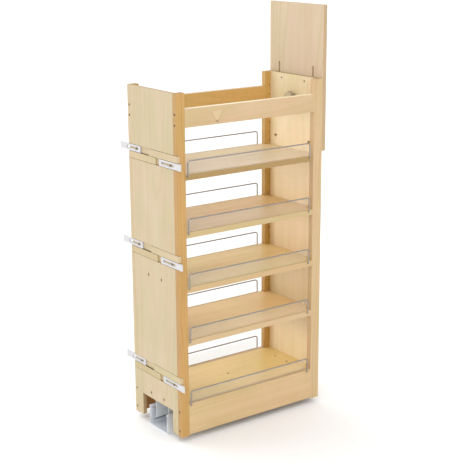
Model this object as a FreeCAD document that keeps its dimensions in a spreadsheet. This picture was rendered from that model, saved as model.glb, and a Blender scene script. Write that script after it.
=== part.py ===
import FreeCAD, Part
import math
import os
import Sketcher
from FreeCAD import Placement, Rotation, Vector

# Tall pull-out pantry organiser. Millimetres. +X right, +Z up, the front (door side) faces -Y.
# Origin: on the cabinet floor, below the middle of the wooden frame.

DIMENSIONS = [
    # wooden frame
    ("frame_width", 278), ("frame_depth", 570), ("frame_height", 1108), ("base_lift", 18),
    ("stile_thick", 19), ("rear_stile_depth", 31), ("front_stile_depth", 36), ("panel_thick", 12.7),
    ("panel_lift", 3), ("panel_drop", 1), ("notch_width", 181), ("notch_top", 79), ("rail_bottom", 1002),
    ("rail_height", 57), ("board_bottom", 4), ("board_height", 106),
    # shelves
    ("shelf_thick", 18), ("shelf_gap", 0.5), ("shelf_1_top", 858), ("shelf_2_top", 676),
    ("middle_top", 499), ("shelf_4_top", 323), ("bottom_top", 110), ("cleat_height", 14),
    ("cleat_depth", 12),
    # stabiliser slats and glides
    ("slat_height", 21.6), ("slat_gap", 1.2), ("slat_thick", 10), ("slat_edge_gap", 1),
    ("band_1_middle", 896.6), ("band_2_middle", 583.7), ("band_3_middle", 182.4), ("glide_length", 118),
    ("glide_height", 21), ("glide_thick", 4), ("glide_gap", 0.3), ("right_reach", 49), ("left_reach", 18),
    ("reach_limit", 60), ("glide_screw_inset", 42), ("glide_slot_width", 5.5), ("glide_slot_spare", 2),
    ("glide_recess_width", 10), ("glide_recess_depth", 2.2), ("glide_head_radius", 4),
    ("glide_head_height", 1.6), ("glide_shank_radius", 2), ("glide_recess", 0.9), ("glide_seat_spare", 2),
    ("glide_tip_cover", 1.5),
    # wire rails and clear guards
    ("wire_radius", 2.25), ("wire_height", 43), ("wire_corner", 9), ("wire_elbow", 2.6),
    ("wire_hole_drop", 6), ("wire_tip", 14), ("wire_end_gap", 2), ("wire_front_inset", 53),
    ("wire_rear_inset", 38), ("guard_thick", 3), ("guard_groove", 4), ("guard_height", 36),
    ("guard_inset", 4.5), ("guard_end", 7),
    # shelf pins
    ("pin_radius", 2.5), ("pin_hole_depth", 10), ("pin_hole_pitch", 32), ("pin_reach", 7),
    ("pin_gap", 0.3), ("rear_pin_shift", 2), ("pin_tip_gap", 1),
    # screws
    ("screw_head_radius", 4), ("screw_head_depth", 3), ("screw_radius", 2), ("screw_clearance", 0.1),
    ("recess_depth", 1.6), ("frame_screw_length", 55), ("panel_screw_length", 32),
    ("panel_screw_offset", 38), ("panel_screw_drop", 3), ("upright_screw_low", 20),
    ("upright_screw_step", 66), ("rail_screw_low", 9), ("rail_screw_step", 33),
    # front board and its fasteners
    ("front_board_thick", 14), ("front_board_bottom", 869), ("front_board_height", 473),
    ("front_board_gap", 0.3), ("outer_slot_offset", 88.5), ("outer_slot_low", 885),
    ("outer_slot_high", 1140), ("slot_width", 7), ("slot_recess", 3), ("slot_recess_width", 13),
    ("centre_slot_low", 1024), ("centre_slot_high", 1100), ("clamp_screw_height", 893),
    ("clamp_radius", 2.6), ("clamp_head_radius", 6), ("clamp_head_height", 2.4), ("clamp_tail", 6),
    ("nut_radius", 4.6), ("nut_height", 4), ("washer_gap", 0.3), ("set_screw_offset", 60),
    ("set_screw_height", 1092),
    # lock knob
    ("knob_height", 1031), ("knob_radius", 22), ("knob_thick", 14), ("knob_hub_radius", 10),
    ("knob_gap", 0.4), ("knob_hub_length", 6), ("knob_bore", 3.4), ("knob_lobe_radius", 7),
    ("knob_lobe_inset", 3), ("stud_radius", 3), ("stud_tail", 11), ("hole_clearance", 0.1),
    ("groove_clearance", 0.2),
    # floor channel
    ("channel_width", 106), ("channel_height", 68), ("sheet_thick", 1.6), ("channel_length", 548),
    ("floor_hole_radius", 2.75), ("floor_hole_x", 25), ("floor_hole_inset", 40),
    ("floor_slot_length", 22), ("channel_inset", 1), ("floor_slot_inset", 6), ("slide_inset", 5),
    ("slide_inner_inset", 16),
    # slides and ball cages
    ("slide_length", 534), ("slide_middle_height", 38), ("slide_wall", 1.2), ("ball_gap", 3.2),
    ("outer_half_height", 23), ("outer_depth", 11.2), ("middle_web_gap", 1.6), ("middle_depth", 9.4),
    ("inner_depth", 8), ("slide_gap", 0.2), ("inner_gap", 0.5), ("ball_radius", 1.5), ("cage_thick", 0.8),
    ("cage_width", 5), ("cage_length", 290), ("cage_gap", 0.4), ("outer_cage_inset", 115),
    ("inner_cage_inset", 145),
    # bracket
    ("bracket_thick", 2), ("bracket_bottom", 24), ("bracket_length", 520), ("bracket_screw_x", 32),
    ("bracket_screw_inset", 56), ("bracket_screw_length", 24), ("bracket_inset", 16),
]
UP = Vector(0, 0, 1)
TO_REAR = Vector(0, 1, 0)
TO_FRONT = Vector(0, -1, 0)
OVER = 1     # how far a cutter runs past the face that it opens, so that no skin is left
KNOB_LOBES = 7
CAGE_BALLS = 8
BANDS = (1, 2, 3)
ADJUSTABLE = (1, 2, 4)
PIN_ROWS = {1: (-1, 7), 2: (-4, 3), 4: (-4, 4)}   # holes below and above the pin that carries each shelf

doc = FreeCAD.newDocument("pantry_pull_out")
sheet = doc.addObject("Spreadsheet::Sheet", "Dims")
parts = []


class Size:
    """A length worked out from the sheet: its expression and its present value."""

    def __init__(self, text, value):
        self.text = text
        self.value = value

    def __add__(self, other):
        other = as_size(other)
        return Size(f"({self.text} + {other.text})", self.value + other.value)

    def __sub__(self, other):
        other = as_size(other)
        return Size(f"({self.text} - {other.text})", self.value - other.value)

    def __mul__(self, factor):
        return Size(f"({self.text} * {factor})", self.value * factor)

    def __truediv__(self, divisor):
        return Size(f"({self.text} / {divisor})", self.value / divisor)

    def __neg__(self):
        return self * -1


def as_size(value):
    return value if isinstance(value, Size) else Size(str(value), float(value))


class Dims:
    """The sheet's dimensions, each as a Size with the alias's name."""


d = Dims()
for row, (alias, value) in enumerate(DIMENSIONS, start=1):
    sheet.set(f"A{row}", alias)
    sheet.set(f"B{row}", str(value))
    sheet.setAlias(f"B{row}", alias)
    setattr(d, alias, Size(f"Dims.{alias}", float(value)))
doc.recompute()

# Places that many sub-parts share.
half_width = d.frame_width / 2
half_depth = d.frame_depth / 2
inner_width = d.frame_width - d.stile_thick * 2
stile_x = half_width - d.stile_thick / 2
SIDES = (("left", -1), ("right", 1))


def level(height):
    """A height above the frame's foot, as a height above the cabinet floor."""
    return d.base_lift + height


# ---------------------------------------------------------------- building helpers


def bind(obj, prop, size):
    obj.setExpression(prop, as_size(size).text)


def bind_base(obj, x, y, z):
    for axis, size in zip("xyz", (x, y, z)):
        bind(obj, f"Placement.Base.{axis}", size)


def keep(label, obj):
    """Marks an object as a finished sub-part: its label names its file."""
    obj.Label = label
    parts.append(obj)
    return obj


def block(name, length, width, height, x, y, bottom):
    """A box centred on x and y that stands on bottom."""
    obj = doc.addObject("Part::Box", name)
    bind(obj, "Length", length)
    bind(obj, "Width", width)
    bind(obj, "Height", height)
    bind_base(obj, x - as_size(length) / 2, y - as_size(width) / 2, bottom)
    return obj


def rod(name, radius, length, x, y, z, axis):
    """A cylinder from a point along an axis."""
    obj = doc.addObject("Part::Cylinder", name)
    bind(obj, "Radius", radius)
    bind(obj, "Height", length)
    obj.Placement = Placement(Vector(), Rotation(UP, axis))
    bind_base(obj, as_size(x), as_size(y), as_size(z))
    return obj


def group(name, members):
    obj = doc.addObject("Part::Compound", name)
    obj.Links = members
    return obj


def fuse(name, members):
    obj = doc.addObject("Part::MultiFuse", name)
    obj.Shapes = members
    return obj


def cut(name, base, tools):
    obj = doc.addObject("Part::Cut", name)
    obj.Base = base
    obj.Tool = tools[0] if len(tools) == 1 else group(name + "_tools", tools)
    return obj


def feature(name, shape):
    obj = doc.addObject("Part::Feature", name)
    obj.Shape = shape
    return obj


def new_body(name):
    return doc.addObject("PartDesign::Body", name)


def origin_plane(body, role):
    return next(f for f in body.Origin.OriginFeatures if f.Role == role)


def outline(body, name, plane, points, offset):
    """A closed sketch of straight sides; each corner is held to the sheet."""
    sketch = body.newObject("Sketcher::SketchObject", name)
    sketch.AttachmentSupport = (origin_plane(body, plane), "")
    sketch.MapMode = "FlatFace"
    bind(sketch, "AttachmentOffset.Base.z", offset)
    corners = [(as_size(x), as_size(y)) for x, y in points]
    count = len(corners)
    for i, (x, y) in enumerate(corners):
        nx, ny = corners[(i + 1) % count]
        sketch.addGeometry(Part.LineSegment(Vector(x.value, y.value, 0), Vector(nx.value, ny.value, 0)))
    for i in range(count):
        sketch.addConstraint(Sketcher.Constraint("Coincident", i, 2, (i + 1) % count, 1))
    for i, (x, y) in enumerate(corners):
        for kind, size in (("DistanceX", x), ("DistanceY", y)):
            index = sketch.addConstraint(Sketcher.Constraint(kind, -1, 1, i, 1, size.value))
            sketch.setExpression(f"Constraints[{index}]", size.text)
    return sketch


def pad(body, sketch, length):
    obj = body.newObject("PartDesign::Pad", sketch.Name + "_pad")
    obj.Profile = sketch
    bind(obj, "Length", length)
    sketch.Visibility = False
    return obj


def rectangle(x0, y0, x1, y1):
    return [(x0, y0), (x1, y0), (x1, y1), (x0, y1)]


def countersunk(length, radius, head_radius, head_depth, grow):
    """A countersunk screw that points up +Z from its head's face, or its hole if grow is above 0."""
    points = [
        (0, -grow), (head_radius + grow, -grow), (head_radius + grow, 0), (radius + grow, head_depth),
        (radius + grow, length - radius), (0, length + grow),
    ]
    edge = Part.makePolygon([Vector(x, 0, z) for x, z in points] + [Vector(points[0][0], 0, points[0][1])])
    return Part.Face(edge).revolve(Vector(), UP, 360)


def cross_recess(radius, depth):
    """The driver's cross in a screw head, to be cut from the face at z 0."""
    half_long = radius * 0.6
    half_wide = radius * 0.15
    arm = Part.makeBox(half_long * 2, half_wide * 2, depth, Vector(-half_long, -half_wide, 0))
    turned = arm.copy()
    turned.rotate(Vector(), UP, 90)
    return arm.fuse(turned)


def place_all(shape, places):
    """Copies of a shape, one for each (point, direction) place."""
    copies = []
    for point, direction in places:
        copy = shape.copy()
        copy.Placement = Placement(point, Rotation(UP, direction))
        copies.append(copy)
    return Part.makeCompound(copies)


def screw_set(label, length, places):
    """Countersunk screws as one sub-part, and the holes that they need."""
    size = (length.value, d.screw_radius.value, d.screw_head_radius.value, d.screw_head_depth.value)
    solid = countersunk(*size, 0).cut(cross_recess(d.screw_head_radius.value, d.recess_depth.value))
    keep(label, feature(label, place_all(solid, places)))
    return feature(label + "_holes", place_all(countersunk(*size, d.screw_clearance.value), places))


# ---------------------------------------------------------------- fasteners and the holes that they need


def frame_screw_places():
    """Heads on the stiles' end faces: two into each bottom board and two into each top rail."""
    heights = [level(d.upright_screw_low + d.upright_screw_step * i) for i in range(2)]
    heights += [level(d.rail_bottom + d.rail_screw_low + d.rail_screw_step * i) for i in range(2)]
    return [
        (Vector(side * stile_x.value, end * half_depth.value, z.value), Vector(0, -end, 0))
        for side in (-1, 1) for end in (-1, 1) for z in heights
    ]


def panel_screw_places():
    """Heads on both panels' outer faces, into the bottom shelf, the middle shelf and its cleat."""
    bottom = level(d.bottom_top - d.shelf_thick / 2 - d.panel_screw_drop).value
    middle = level(d.middle_top - d.shelf_thick / 2).value
    cleat = level(d.middle_top + d.cleat_height / 2).value
    rows = [(1, bottom), (1, cleat), (-1, bottom), (-1, middle)]
    return [
        (Vector(side * d.panel_screw_offset.value, end * half_depth.value, z), Vector(0, -end, 0))
        for side in (-1, 1) for end, z in rows
    ]


def bracket_screw_places():
    """Heads flush in the bottom shelf's top, two at each end and one in the middle."""
    top = level(d.bottom_top).value
    end = half_depth.value - d.bracket_screw_inset.value
    corners = [(sx * d.bracket_screw_x.value, sy * end) for sx in (-1, 1) for sy in (-1, 1)]
    return [(Vector(x, y, top), Vector(0, 0, -1)) for x, y in corners + [(0, 0)]]


frame_holes = screw_set("frame_screws", d.frame_screw_length, frame_screw_places())
panel_holes = screw_set("panel_screws", d.panel_screw_length, panel_screw_places())
bracket_holes = screw_set("bracket_screws", d.bracket_screw_length, bracket_screw_places())


# ---------------------------------------------------------------- wooden frame


def band_middle(number):
    return getattr(d, f"band_{number}_middle")


def dado(name, number, width):
    """The groove across the rear face that holds one pair of stabiliser slats."""
    band = d.slat_height * 2 + d.slat_gap + d.slat_edge_gap * 2
    bottom = level(band_middle(number) - band / 2)
    return block(name, width, d.slat_thick * 2, band, as_size(0), half_depth, bottom)


def pin_height(shelf):
    """The middle of the pins that carry an adjustable shelf."""
    top = getattr(d, f"shelf_{shelf}_top")
    return level(top - d.shelf_thick - d.pin_gap - d.pin_radius)


def pin_holes(name, side, y):
    tools = []
    for shelf in ADJUSTABLE:
        low, high = PIN_ROWS[shelf]
        for step in range(low, high + 1):
            z = pin_height(shelf) + d.pin_hole_pitch * step
            start = (half_width - d.stile_thick - OVER) * side
            tools.append(rod(f"{name}_{shelf}_{step - low}", d.pin_radius, d.pin_hole_depth + OVER,
                             start, y, z, Vector(side, 0, 0)))
    return group(name, tools)


front_pin_y = d.front_stile_depth / 2 - half_depth
rear_pin_y = half_depth - d.rear_stile_depth / 2 - d.rear_pin_shift


def make_stiles():
    for side_name, side in SIDES:
        for end_name, end, depth, pin_y in (("front", -1, d.front_stile_depth, front_pin_y),
                                            ("rear", 1, d.rear_stile_depth, rear_pin_y)):
            name = f"{end_name}_{side_name}_stile"
            y = (half_depth - depth / 2) * end
            raw = block(name + "_raw", d.stile_thick, depth, d.frame_height, stile_x * side, y, d.base_lift)
            tools = [pin_holes(name + "_pin_holes", side, pin_y), frame_holes]
            if end > 0:
                tools += [dado(f"{name}_dado_{n}", n, d.frame_width + OVER * 2) for n in BANDS]
            keep(name, cut(name + "_cut", raw, tools))


def make_rails_and_boards():
    length = d.frame_depth - d.rear_stile_depth - d.front_stile_depth
    middle = (d.front_stile_depth - d.rear_stile_depth) / 2
    for side_name, side in SIDES:
        rail = block(f"rail_{side_name}_raw", d.stile_thick, length, d.rail_height,
                     stile_x * side, middle, level(d.rail_bottom))
        keep(f"top_rail_{side_name}", cut(f"rail_{side_name}_cut", rail, [frame_holes]))
        board = block(f"board_{side_name}_raw", d.stile_thick, length, d.board_height,
                      stile_x * side, middle, level(d.board_bottom))
        tools = [frame_holes, guard_groove(f"board_{side_name}_groove", side, d.bottom_top),
                 wire_holes(f"board_{side_name}_wire_holes", side, d.bottom_top)]
        keep(f"bottom_board_{side_name}", cut(f"board_{side_name}_cut", board, tools))


def panel_profile():
    """The rear panel from behind: a rectangle with the slide's notch in its foot."""
    x = inner_width / 2
    foot = level(d.panel_lift)
    top = level(d.frame_height - d.panel_drop)
    notch_x = d.notch_width / 2
    notch_z = level(d.notch_top)
    return [(-x, foot), (-notch_x, foot), (-notch_x, notch_z), (notch_x, notch_z), (notch_x, foot),
            (x, foot), (x, top), (-x, top)]


def make_panels():
    rear = new_body("rear_panel_body")
    pad(rear, outline(rear, "rear_panel_outline", "XZ_Plane", panel_profile(), -half_depth), d.panel_thick)
    tools = [dado(f"rear_panel_dado_{n}", n, inner_width + OVER * 2) for n in BANDS]
    keep("rear_panel", cut("rear_panel_cut", rear, tools + [panel_holes]))
    front = block("front_panel_raw", inner_width, d.panel_thick, d.frame_height - d.panel_lift,
                  as_size(0), d.panel_thick / 2 - half_depth, level(d.panel_lift))
    start = -half_depth - OVER
    through = d.panel_thick + OVER * 2
    bores = [rod(f"front_panel_bore_{i}", d.clamp_radius + d.hole_clearance, through, x, start, z, TO_REAR)
             for i, (x, z) in enumerate(clamp_points())]
    bores.append(rod("front_panel_stud_bore", d.stud_radius + d.hole_clearance, through, 0, start,
                     level(d.knob_height), TO_REAR))
    keep("front_panel", cut("front_panel_cut", front, bores + [panel_holes, set_screw_holes]))


def clamp_points():
    return [(d.outer_slot_offset * side, level(d.clamp_screw_height)) for side in (-1, 1)]


# ---------------------------------------------------------------- shelves with wire rails and clear guards


def guard_groove(name, side, top):
    x = (half_width - d.guard_inset) * side
    return block(name, d.guard_thick + d.groove_clearance, guard_span() + d.groove_clearance * 2,
                 d.guard_groove + OVER, x, wire_middle(), level(top - d.guard_groove))


def wire_middle():
    return (d.wire_front_inset - d.wire_rear_inset) / 2


def wire_ends():
    return (-half_depth + d.wire_front_inset, half_depth - d.wire_rear_inset)


def guard_span():
    return d.frame_depth - d.wire_front_inset - d.wire_rear_inset - d.guard_end * 2


def wire_holes(name, side, top):
    """The two holes in a shelf's edge that a wire rail's bent feet go into."""
    start = (half_width + OVER) * side
    depth = d.wire_tip + d.wire_end_gap + OVER
    return group(name, [
        rod(f"{name}_{i}", d.wire_radius + d.groove_clearance, depth, start, y, level(top - d.wire_hole_drop),
            Vector(-side, 0, 0))
        for i, y in enumerate(wire_ends())
    ])


def bent_rod(corners, radius):
    """A round rod along straight runs joined by arcs; corners holds (point, bend radius)."""
    edges = []
    start = corners[0][0]
    for (before, _), (corner, bend), (after, _) in zip(corners, corners[1:], corners[2:]):
        back = (before - corner).normalize()
        ahead = (after - corner).normalize()
        half_angle = back.getAngle(ahead) / 2
        reach = bend / math.tan(half_angle)
        centre = corner + (back + ahead).normalize() * (bend / math.sin(half_angle))
        first = corner + back * reach
        last = corner + ahead * reach
        middle = centre + (corner - centre).normalize() * bend
        edges += [Part.makeLine(start, first), Part.Arc(first, middle, last).toShape()]
        start = last
    edges.append(Part.makeLine(start, corners[-1][0]))
    path = Part.Wire(edges)
    direction = corners[1][0] - corners[0][0]
    section = Part.Wire([Part.makeCircle(radius, corners[0][0], direction)])
    return path.makePipeShell([section], True, True)


def side_wire(side, top):
    """One side's rail: feet bent into the shelf's edge, legs outside it and a bar along the top."""
    rear, front = (y.value for y in reversed(wire_ends()))
    x_in = side * (half_width - d.wire_tip).value
    x_out = side * (half_width + d.wire_elbow).value
    foot = level(top - d.wire_hole_drop).value
    bar = level(top + d.wire_height).value
    elbow = d.wire_elbow.value
    corner = d.wire_corner.value
    rear_end = [(Vector(x_in, rear, foot), 0), (Vector(x_out, rear, foot), elbow),
                (Vector(x_out, rear, bar), corner)]
    front_end = [(Vector(x_out, front, bar), corner), (Vector(x_out, front, foot), elbow),
                 (Vector(x_in, front, foot), 0)]
    return bent_rod(rear_end + front_end, d.wire_radius.value)


def make_sides(label, top):
    """The pair of wire rails and the pair of clear guards of one shelf."""
    wires = Part.makeCompound([side_wire(side, top) for _, side in SIDES])
    keep(label + "_wires", feature(label + "_wires", wires))
    sheets = [block(f"{label}_guard_{name}", d.guard_thick, guard_span(), d.guard_height + d.guard_groove,
                    (half_width - d.guard_inset) * side, wire_middle(), level(top - d.guard_groove))
              for name, side in SIDES]
    keep(label + "_guards", group(label + "_guard_pair", sheets))


def shelf_outline(gap):
    """A shelf from above: full width, with its corners cut away round the stiles."""
    wide = half_width
    narrow = inner_width / 2 - gap
    rear = half_depth - d.panel_thick - gap
    rear_shoulder = half_depth - d.rear_stile_depth - gap
    front = -half_depth + d.panel_thick + gap
    front_shoulder = -half_depth + d.front_stile_depth + gap
    half = [(narrow, front), (narrow, front_shoulder), (wide, front_shoulder), (wide, rear_shoulder),
            (narrow, rear_shoulder), (narrow, rear)]
    return half + [(-x, y) for x, y in reversed(half)]


def make_full_shelf(label, top, gap, extra_holes):
    body = new_body(label + "_body")
    bottom = level(top - d.shelf_thick)
    pad(body, outline(body, label + "_outline", "XY_Plane", shelf_outline(gap), bottom), d.shelf_thick)
    tools = list(extra_holes)
    for name, side in SIDES:
        tools.append(guard_groove(f"{label}_groove_{name}", side, top))
        tools.append(wire_holes(f"{label}_wire_holes_{name}", side, top))
    keep(label, cut(label + "_cut", body, tools))
    make_sides(label, top)


def make_shelves():
    for number in ADJUSTABLE:
        make_full_shelf(f"shelf_{number}", getattr(d, f"shelf_{number}_top"), d.shelf_gap, [])
    make_full_shelf("middle_shelf", d.middle_top, d.shelf_gap * 0, [panel_holes])
    cleat = block("cleat_raw", inner_width, d.cleat_depth, d.cleat_height, as_size(0),
                  half_depth - d.panel_thick - d.cleat_depth / 2, level(d.middle_top))
    keep("middle_shelf_cleat", cut("cleat_cut", cleat, [panel_holes]))
    bottom = block("bottom_shelf_raw", inner_width, d.frame_depth - d.panel_thick * 2, d.shelf_thick,
                   as_size(0), as_size(0), level(d.bottom_top - d.shelf_thick))
    keep("bottom_shelf", cut("bottom_shelf_cut", bottom, [panel_holes, bracket_holes]))
    make_sides("bottom_shelf", d.bottom_top)


def make_shelf_pins():
    pins = []
    length = d.pin_reach + d.pin_hole_depth - d.pin_tip_gap
    for shelf in ADJUSTABLE:
        for _, side in SIDES:
            for y in (front_pin_y, rear_pin_y):
                start = (half_width - d.stile_thick - d.pin_reach) * side
                pins.append(rod(f"pin_{len(pins)}", d.pin_radius - d.hole_clearance, length,
                                start, y, pin_height(shelf), Vector(side, 0, 0)))
    keep("shelf_pins", group("shelf_pin_group", pins))


# ---------------------------------------------------------------- stabiliser slats and their sliding ends

# Each slat: its name, the side that its sliding end reaches out of, and how far it reaches.
SLATS = (("upper", "right", 1, d.right_reach), ("lower", "left", -1, d.left_reach))


def slat_bottom(number, which):
    step = d.slat_gap / 2 if which == "upper" else -(d.slat_height + d.slat_gap / 2)
    return level(band_middle(number) + step)


def long_slot(name, length, width, depth, x, y, z):
    """A round-ended cutter that runs along X and points along -Y from y."""
    bar = block(name + "_bar", length - width, depth, width, x, y - as_size(depth) / 2, z - width / 2)
    ends = [rod(f"{name}_end_{i}", width / 2, depth, x + (length - width) * (i - 0.5), y, z, TO_FRONT)
            for i in (0, 1)]
    return fuse(name, [bar] + ends)


def glide_screw_x(side):
    return (half_width - d.glide_screw_inset) * side


def make_slat(number, which, side):
    name = f"{which}_slat_{number}"
    bottom = slat_bottom(number, which)
    raw = block(name + "_raw", d.frame_width, d.slat_thick, d.slat_height, as_size(0),
                half_depth - d.slat_thick / 2, bottom)
    depth = d.glide_thick + d.glide_gap
    seat_length = d.glide_length + d.glide_seat_spare
    seat = block(name + "_seat", seat_length + OVER * 2, depth + OVER * 2, d.slat_height + OVER * 2,
                 (half_width - seat_length / 2 + OVER) * side, half_depth - depth / 2 + OVER, bottom - OVER)
    pilot = rod(name + "_pilot", d.glide_shank_radius + d.hole_clearance, d.slat_thick, glide_screw_x(side),
                half_depth, bottom + d.slat_height / 2, TO_FRONT)
    keep(name, cut(name + "_cut", raw, [seat, pilot]))


def make_glide(number, which, side, reach):
    name = f"{which}_glide_{number}"
    middle = slat_bottom(number, which) + d.slat_height / 2
    x = (half_width + reach - d.glide_length / 2) * side
    body = new_body(name + "_body")
    edges = rectangle(x - d.glide_length / 2, middle - d.glide_height / 2,
                      x + d.glide_length / 2, middle + d.glide_height / 2)
    pad(body, outline(body, name + "_outline", "XZ_Plane", edges, -half_depth), d.glide_thick)
    # The screw's way along the glide, from no reach to the reach limit.
    way = d.reach_limit + d.glide_slot_spare
    slot_x = (half_width - d.glide_screw_inset + reach - d.reach_limit / 2) * side
    slot = long_slot(name + "_slot", way + d.glide_slot_width, d.glide_slot_width, d.glide_thick + OVER * 2,
                     slot_x, half_depth + OVER, middle)
    recess = long_slot(name + "_recess", way + d.glide_recess_width, d.glide_recess_width,
                       d.glide_recess_depth + OVER, slot_x, half_depth + OVER, middle)
    keep(name, cut(name + "_cut", body, [slot, recess]))


def glide_screw():
    """A pan-head screw that points up +Z, its head's top at z 0."""
    head = Part.makeCylinder(d.glide_head_radius.value, d.glide_head_height.value)
    shank = Part.makeCylinder(d.glide_shank_radius.value, (d.slat_thick - d.glide_tip_cover).value)
    return head.fuse(shank).cut(cross_recess(d.glide_head_radius.value, d.glide_recess.value))


def make_slats_and_glides():
    places = []
    head_y = (half_depth - d.glide_gap).value
    for number in BANDS:
        for which, _, side, reach in SLATS:
            make_slat(number, which, side)
            make_glide(number, which, side, reach)
            z = slat_bottom(number, which) + d.slat_height / 2
            places.append((Vector(glide_screw_x(side).value, head_y, z.value), TO_FRONT))
    keep("glide_screws", feature("glide_screws", place_all(glide_screw(), places)))


# ---------------------------------------------------------------- height-adjustable front board and its lock

board_back = -half_depth - d.front_board_gap
board_front = board_back - d.front_board_thick
head_seat = board_front + d.slot_recess - d.washer_gap
set_length = d.panel_thick - d.knob_gap
set_size = (set_length.value, d.screw_radius.value, d.screw_head_radius.value, d.screw_head_depth.value)
set_places = [(Vector(side * d.set_screw_offset.value, (d.panel_thick - half_depth).value,
                      level(d.set_screw_height).value), TO_FRONT) for side in (-1, 1)]
set_hole = countersunk(*set_size, d.screw_clearance.value)
set_screw_holes = feature("set_screw_holes", place_all(set_hole, set_places))


def tall_slot(name, width, low, high, x, reach):
    """A round-ended vertical cutter that goes into the front board's face by reach."""
    start = board_front - OVER
    depth = reach + OVER
    bar = block(name + "_bar", width, depth, high - low, x, start + depth / 2, level(low))
    ends = [rod(f"{name}_end_{i}", width / 2, depth, x, start, level(z), TO_REAR)
            for i, z in enumerate((low, high))]
    return fuse(name, [bar] + ends)


def make_front_board():
    body = new_body("front_board_body")
    edges = rectangle(-half_width, level(d.front_board_bottom), half_width,
                      level(d.front_board_bottom + d.front_board_height))
    pad(body, outline(body, "front_board_outline", "XZ_Plane", edges, -board_back), d.front_board_thick)
    runs = [(f"outer_slot_{name}", d.outer_slot_low, d.outer_slot_high, d.outer_slot_offset * side)
            for name, side in SIDES]
    runs.append(("centre_slot", d.centre_slot_low, d.centre_slot_high, as_size(0)))
    tools = []
    for name, low, high, x in runs:
        tools.append(tall_slot(name, d.slot_width, low, high, x, d.front_board_thick + OVER))
        tools.append(tall_slot(name + "_recess", d.slot_recess_width, low, high, x, d.slot_recess))
    keep("front_board", cut("front_board_cut", body, tools))


def make_board_screws():
    """Clamp screws through the outer slots: a head sunk below the board's face and a nut inside the panel."""
    reach = head_seat.value
    head = d.clamp_head_height.value
    shank = (d.panel_thick - half_depth - head_seat + d.clamp_tail).value
    screw = Part.makeCylinder(d.clamp_head_radius.value, head, Vector(0, 0, -head))
    screw = screw.fuse(Part.makeCylinder(d.clamp_radius.value, shank))
    places = [(Vector(x.value, reach, z.value), TO_REAR) for x, z in clamp_points()]
    keep("clamp_screws", feature("clamp_screws", place_all(screw, places)))
    corner = Vector(d.nut_radius.value, 0, 0)
    turns = [Rotation(UP, 60 * i) for i in range(7)]
    hexagon = Part.makePolygon([turn.multVec(corner) for turn in turns])
    nut = Part.Face(hexagon).extrude(Vector(0, 0, d.nut_height.value))
    nut = nut.cut(Part.makeCylinder((d.clamp_radius + d.hole_clearance).value, d.nut_height.value))
    inside = (d.panel_thick - half_depth).value
    places = [(Vector(x.value, inside, z.value), TO_REAR) for x, z in clamp_points()]
    keep("clamp_nuts", feature("clamp_nuts", place_all(nut, places)))
    solid = countersunk(*set_size, 0).cut(cross_recess(d.screw_head_radius.value, d.recess_depth.value))
    keep("height_set_screws", feature("height_set_screws", place_all(solid, set_places)))


def make_lock_knob():
    """A lobed knob on a stud that clamps the front board at its height."""
    face = d.panel_thick - half_depth + d.knob_gap
    z = level(d.knob_height)
    hub = rod("knob_hub", d.knob_hub_radius, d.knob_hub_length + OVER, 0, face, z, TO_REAR)
    disc = rod("knob_disc", d.knob_radius, d.knob_thick, 0, face + d.knob_hub_length, z, TO_REAR)
    length = d.knob_hub_length + d.knob_thick + OVER * 2
    tools = [rod("knob_bore", d.knob_bore, length, 0, face - OVER, z, TO_REAR)]
    ring = d.knob_radius + d.knob_lobe_radius - d.knob_lobe_inset
    for i in range(KNOB_LOBES):
        angle = math.radians(360 / KNOB_LOBES * i)
        tools.append(rod(f"knob_lobe_{i}", d.knob_lobe_radius, d.knob_thick + OVER, ring * math.cos(angle),
                         face + d.knob_hub_length, z + ring * math.sin(angle), TO_REAR))
    keep("lock_knob", cut("lock_knob_cut", fuse("knob_blank", [hub, disc]), [fuse("knob_tools", tools)]))
    length = face - head_seat + d.knob_hub_length + d.stud_tail
    shank = rod("stud_shank", d.stud_radius, length, 0, head_seat, z, TO_REAR)
    head = rod("stud_head", d.clamp_head_radius, d.clamp_head_height, 0, head_seat - d.clamp_head_height, z,
               TO_REAR)
    keep("lock_stud", fuse("lock_stud_fused", [shank, head]))


# ---------------------------------------------------------------- floor channel and ball-bearing slides

slide_middle = d.slide_middle_height
channel_rear = half_depth - d.channel_inset
outer_x = d.channel_width / 2 - d.sheet_thick - d.slide_gap


def c_profile(side, x, depth, half_height, wall, opens):
    """A C section in XZ: a web at x with two flanges; opens is -1 toward the middle, 1 away from it."""
    outer = x * side
    inner_web = (x + wall * opens) * side
    tip = (x + depth * opens) * side
    high = slide_middle + half_height
    low = slide_middle - half_height
    return [(outer, low), (tip, low), (tip, low + wall), (inner_web, low + wall), (inner_web, high - wall),
            (tip, high - wall), (tip, high), (outer, high)]


def make_channel():
    half = d.channel_width / 2
    wall = d.sheet_thick
    top = d.channel_height
    section = [(-half, 0), (half, 0), (half, top), (half - wall, top), (half - wall, wall),
               (wall - half, wall), (wall - half, top), (-half, top)]
    body = new_body("floor_channel_body")
    pad(body, outline(body, "channel_section", "XZ_Plane", section, -channel_rear), d.channel_length)
    tools = []
    for side_name, side in SIDES:
        for i, y in enumerate((channel_rear - d.floor_hole_inset,
                               channel_rear - d.channel_length + d.floor_hole_inset)):
            tools.append(rod(f"floor_hole_{side_name}_{i}", d.floor_hole_radius, d.sheet_thick + OVER * 2,
                             d.floor_hole_x * side, y, -OVER, UP))
    tools.append(block("floor_slot", d.floor_hole_radius * 2, d.floor_slot_length, d.sheet_thick + OVER * 2,
                       as_size(0), channel_rear - d.floor_slot_length - d.floor_slot_inset, as_size(-OVER)))
    keep("floor_channel", cut("floor_channel_cut", body, tools))


middle_half = d.outer_half_height - d.slide_wall - d.ball_gap
inner_half = middle_half - d.slide_wall - d.ball_gap
middle_x = outer_x - d.slide_wall - d.middle_web_gap
inner_x = outer_x - d.outer_depth - d.inner_gap


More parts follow.
